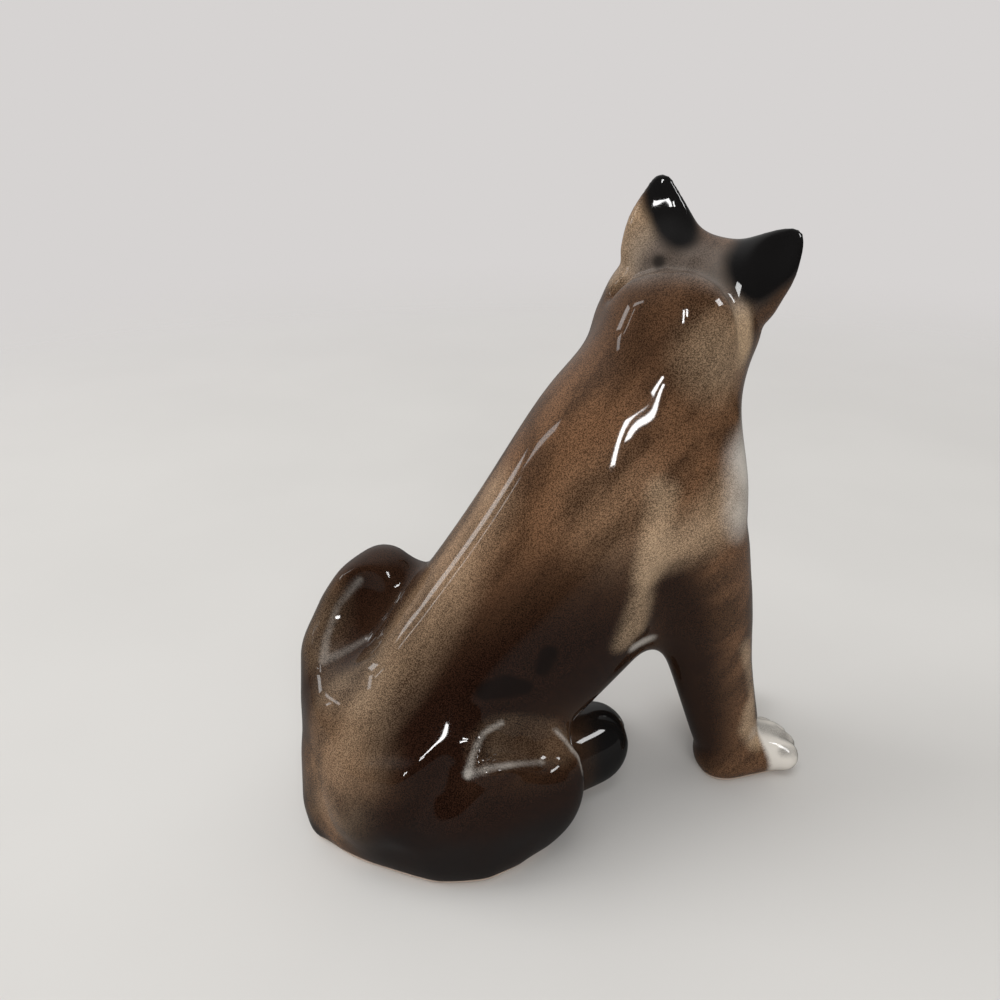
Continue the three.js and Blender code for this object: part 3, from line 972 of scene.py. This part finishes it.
def make_pieces(context, *nodes):
    """Adds the skin's pieces, each in place of its CAD node."""
    scene = context.scene
    skin = skin_of_grain(scene.figurine_clay.grain / MM)
    material = bpy.data.materials.get("sprayed_glaze")
    if material is None:
        material = glaze_material(scene.figurine_glaze, scene.figurine_clay.foot_rim)
    for node in nodes:
        if not skin.faces[node]:
            raise RuntimeError(f"no skin lies on {node}")
        piece = bpy.data.objects.new("glazed_" + node, skin.mesh(node))
        piece.data.materials.append(material)
        scene.collection.objects.link(piece)
        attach(piece, "root")
        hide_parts(node)


class FIGURINE_OT_torso(bpy.types.Operator):
    """Add the glazed torso, from the seat to the neck"""

    bl_idname = "figurine.torso"
    bl_label = "Torso"

    def execute(self, context):
        make_pieces(context, "torso")
        return {"FINISHED"}


class FIGURINE_OT_head(bpy.types.Operator):
    """Add the glazed head with its face"""

    bl_idname = "figurine.head"
    bl_label = "Head"

    def execute(self, context):
        make_pieces(context, "head")
        return {"FINISHED"}


class FIGURINE_OT_ears(bpy.types.Operator):
    """Add the pricked ears"""

    bl_idname = "figurine.ears"
    bl_label = "Ears"

    def execute(self, context):
        make_pieces(context, "left_ear", "right_ear")
        return {"FINISHED"}


class FIGURINE_OT_forelegs(bpy.types.Operator):
    """Add the forelegs with their paws"""

    bl_idname = "figurine.forelegs"
    bl_label = "Forelegs"

    def execute(self, context):
        make_pieces(context, "left_foreleg", "right_foreleg")
        return {"FINISHED"}


class FIGURINE_OT_haunches(bpy.types.Operator):
    """Add the haunches, one splayed and one standing"""

    bl_idname = "figurine.haunches"
    bl_label = "Haunches"

    def execute(self, context):
        make_pieces(context, "left_haunch", "right_haunch")
        return {"FINISHED"}


class FIGURINE_OT_hind_feet(bpy.types.Operator):
    """Add the hind feet"""

    bl_idname = "figurine.hind_feet"
    bl_label = "Hind feet"

    def execute(self, context):
        make_pieces(context, "left_hind_foot", "right_hind_foot")
        return {"FINISHED"}


class FIGURINE_OT_tail(bpy.types.Operator):
    """Add the docked tail"""

    bl_idname = "figurine.tail"
    bl_label = "Tail"

    def execute(self, context):
        make_pieces(context, "tail")
        return {"FINISHED"}


# Camera of the photograph, in the sculptor's frame, with a lens as long as its sensor is wide
CAMERA_PLACE = (-10.04, -112.02, 100.0)
CAMERA_DOWN = math.radians(24)
CAMERA_RIGHT = math.radians(18)
CAMERA_LENS = 36.0
CAMERA_NEAREST = 1 * MM

# The table top, which fades into the background from one distance to the other
TABLE_SIZE = 1.0
TABLE_FADE = (0.14, 0.42)

# Its faint clouds, as a size, a range of noise and how dark they are, and its finish
TABLE_CLOUD_SIZE = 60 * MM
TABLE_CLOUD_EDGES = (0.3, 0.7)
TABLE_CLOUD_SHADE = 0.97
TABLE_ROUGHNESS = (0.6, 0.2)
TABLE_GLOSS = 0.05

# How much of its light the table top throws back into the glaze
TABLE_IN_GLAZE = 0.24

# Lamps: azimuth round the figure from its right side towards its front, height angle, distance
# and size in metres, turn about the beam in degrees, power in watts, and whether the lamp is seen
# as a glint in the glaze or only lights what is round it
LAMPS = {
    "window_left": (-20.5, 25.5, 0.5, (0.02, 0.13), 0, 0.28, "glint"),
    "window_right": (-15.5, 29, 0.5, (0.02, 0.09), 0, 0.19, "glint"),
    "side_window": (53, 36, 0.5, (0.12, 0.08), 0, 0.42, "glint"),
    "wall_strip": (-120, 19, 0.5, (0.07, 0.06), 0, 0.06, "glint"),
    "wall_edge": (-105, 21, 0.5, (0.012, 0.06), 0, 0.011, "glint"),
    "wall_top": (-104, 30, 0.5, (0.03, 0.14), -56, 0.055, "glint"),
    "window": (-17, 30, 1.2, (0.6, 0.6), 0, 5.3, "light"),
    "wall": (-112, 36, 1.2, (0.7, 0.7), 0, 5.3, "light"),
    "ceiling": (-60, 74, 1.2, (1.0, 0.8), 0, 4.0, "light"),
}
AIM = Vector((0, 0, 0.04))


def add_lamp(name, azimuth, height, distance, size, turn, power, use):
    """An area lamp aimed at the middle of the figure."""
    light = bpy.data.lights.new(name, "AREA")
    light.shape = "RECTANGLE"
    light.size, light.size_y = size
    light.energy = power
    lamp = bpy.data.objects.new(name, light)
    bpy.context.scene.collection.objects.link(lamp)
    round_figure = math.radians(azimuth)
    rise = math.radians(height)
    flat = math.cos(rise)
    back = Vector((math.sin(round_figure) * flat, -math.cos(round_figure) * flat, math.sin(rise)))
    lamp.location = AIM + distance * back
    about_beam = Matrix.Rotation(math.radians(turn), 3, "Z")
    lamp.rotation_euler = (back.to_track_quat("Z", "Y").to_matrix() @ about_beam).to_euler()
    lamp.visible_glossy = use == "glint"
    lamp.visible_diffuse = use == "light"


def add_floor(colour):
    """A pale table top that fades into the background, and is dim where the glaze mirrors it."""
    mesh = bpy.data.meshes.new("table_top")
    half = TABLE_SIZE / 2
    corners = [(-half, -half, 0), (half, -half, 0), (half, half, 0), (-half, half, 0)]
    mesh.from_pydata(corners, [], [(0, 1, 2, 3)])
    floor = bpy.data.objects.new("table_top", mesh)
    bpy.context.scene.collection.objects.link(floor)
    material = bpy.data.materials.new("table_top")
    nodes = Nodes(material)
    place = nodes.node("ShaderNodeTexCoord", output="Object")
    cloud = nodes.noise(place, TABLE_CLOUD_SIZE, 3.0)
    away = nodes.node("ShaderNodeVectorMath", {"operation": "LENGTH"}, {0: place}, output="Value")
    plain = nodes.mix(cloud.between(*TABLE_CLOUD_EDGES), scaled(colour, TABLE_CLOUD_SHADE), colour)
    smoothest, rougher = TABLE_ROUGHNESS
    mirrored = nodes.node("ShaderNodeLightPath", output="Is Glossy Ray")
    shader = nodes.node("ShaderNodeBsdfPrincipled", sockets={
        "Base Color": nodes.mix(mirrored, plain, scaled(colour, TABLE_IN_GLAZE)),
        "Roughness": smoothest + cloud * rougher,
        "Specular IOR Level": TABLE_GLOSS,
        "Alpha": 1 - away.between(*TABLE_FADE),
    })
    nodes.node("ShaderNodeOutputMaterial", sockets={"Surface": shader})
    mesh.materials.append(material)


# Room light: its colour, how fast its level rises towards the wall and with height, and the levels
# between which it grows from one share of the room's strength to another, as shading of the figure
# and as sheen in its glaze
LIGHT_COLOUR = (1, 0.99, 0.975)
WALL_RISE = 0.6
HEIGHT_RISE = 0.8
SHADING_LEVELS = (-0.9, 1.1)
SHADING_SHARES = (0.3, 1.7)
SHEEN_LEVELS = (0.1, 1.2)
SHEEN_SHARES = (0.04, 1.75)


def light_room(room, background):
    """Soft light from all round, stronger from above and from the wall side, and a plain background."""
    world = bpy.data.worlds.new("room")
    bpy.context.scene.world = world
    nodes = Nodes(world)

    def light(strength, colour=LIGHT_COLOUR):
        sockets = {"Color": rgba(colour), "Strength": strength}
        return nodes.node("ShaderNodeBackground", sockets=sockets)

    def blend(share, first, second):
        return nodes.node("ShaderNodeMixShader", sockets={0: share, 1: first, 2: second})

    way = nodes.node("ShaderNodeTexCoord", output="Generated")
    height = nodes.node("ShaderNodeSeparateXYZ", sockets={0: way}, output="Z")
    wall = nodes.node("ShaderNodeSeparateXYZ", sockets={0: way}, output="Y")
    level = wall * WALL_RISE + height * HEIGHT_RISE
    shading = blend(level.between(*SHADING_LEVELS), *(light(share * room) for share in SHADING_SHARES))
    sheen = blend(level.between(*SHEEN_LEVELS), *(light(share * room) for share in SHEEN_SHARES))
    mirrored = nodes.node("ShaderNodeLightPath", output="Is Glossy Ray")
    seen = nodes.node("ShaderNodeLightPath", output="Is Camera Ray")
    shown = blend(seen, blend(mirrored, shading, sheen), light(1.0, background))
    nodes.node("ShaderNodeOutputWorld", sockets={"Surface": shown})


def add_camera():
    """The camera where the photograph was taken from."""
    data = bpy.data.cameras.new("photo_camera")
    data.lens = CAMERA_LENS
    data.sensor_width = CAMERA_LENS
    data.clip_start = CAMERA_NEAREST
    camera = bpy.data.objects.new("photo_camera", data)
    camera.location = Vector((np.array(CAMERA_PLACE) + ORIGIN) * MM)
    camera.rotation_euler = (math.pi / 2 - CAMERA_DOWN, 0, -CAMERA_RIGHT)
    bpy.context.scene.collection.objects.link(camera)
    bpy.context.scene.camera = camera


class FIGURINE_OT_studio(bpy.types.Operator):
    """Add the table top, the lamps, the room light and the camera"""

    bl_idname = "figurine.studio"
    bl_label = "Studio"

    def execute(self, context):
        studio = context.scene.figurine_studio
        add_floor(studio.floor)
        light_room(studio.room, studio.background)
        for name, setting in LAMPS.items():
            add_lamp(name, *setting)
        add_camera()
        context.scene.view_settings.view_transform = "Standard"
        return {"FINISHED"}


class FIGURINE_PT_panel(bpy.types.Panel):
    """Pieces and settings of the figurine"""

    bl_label = "Figurine"
    bl_idname = "FIGURINE_PT_panel"
    bl_space_type = "VIEW_3D"
    bl_region_type = "UI"
    bl_category = "Figurine"

    def draw(self, context):
        for operator in OPERATORS:
            self.layout.operator(operator.bl_idname)
        for group in SETTINGS:
            settings = getattr(context.scene, group)
            for name in settings.__annotations__:
                self.layout.prop(settings, name)


OPERATORS = (
    FIGURINE_OT_torso,
    FIGURINE_OT_head,
    FIGURINE_OT_ears,
    FIGURINE_OT_forelegs,
    FIGURINE_OT_haunches,
    FIGURINE_OT_hind_feet,
    FIGURINE_OT_tail,
    FIGURINE_OT_studio,
)
SETTINGS = {
    "figurine_clay": FigurineClay,
    "figurine_glaze": FigurineGlaze,
    "figurine_studio": FigurineStudio,
}
CLASSES = (*SETTINGS.values(), *OPERATORS, FIGURINE_PT_panel)


def register():
    for cls in CLASSES:
        bpy.utils.register_class(cls)
    for name, settings in SETTINGS.items():
        setattr(bpy.types.Scene, name, PointerProperty(type=settings))


def unregister():
    for name in reversed(SETTINGS):
        delattr(bpy.types.Scene, name)
    for cls in reversed(CLASSES):
        bpy.utils.unregister_class(cls)


def main():
    """Adds every piece and the studio."""
    register()
    bpy.ops.figurine.torso()
    bpy.ops.figurine.head()
    bpy.ops.figurine.ears()
    bpy.ops.figurine.forelegs()
    bpy.ops.figurine.haunches()
    bpy.ops.figurine.hind_feet()
    bpy.ops.figurine.tail()
    bpy.ops.figurine.studio()


if __name__ == "__main__":
    main()
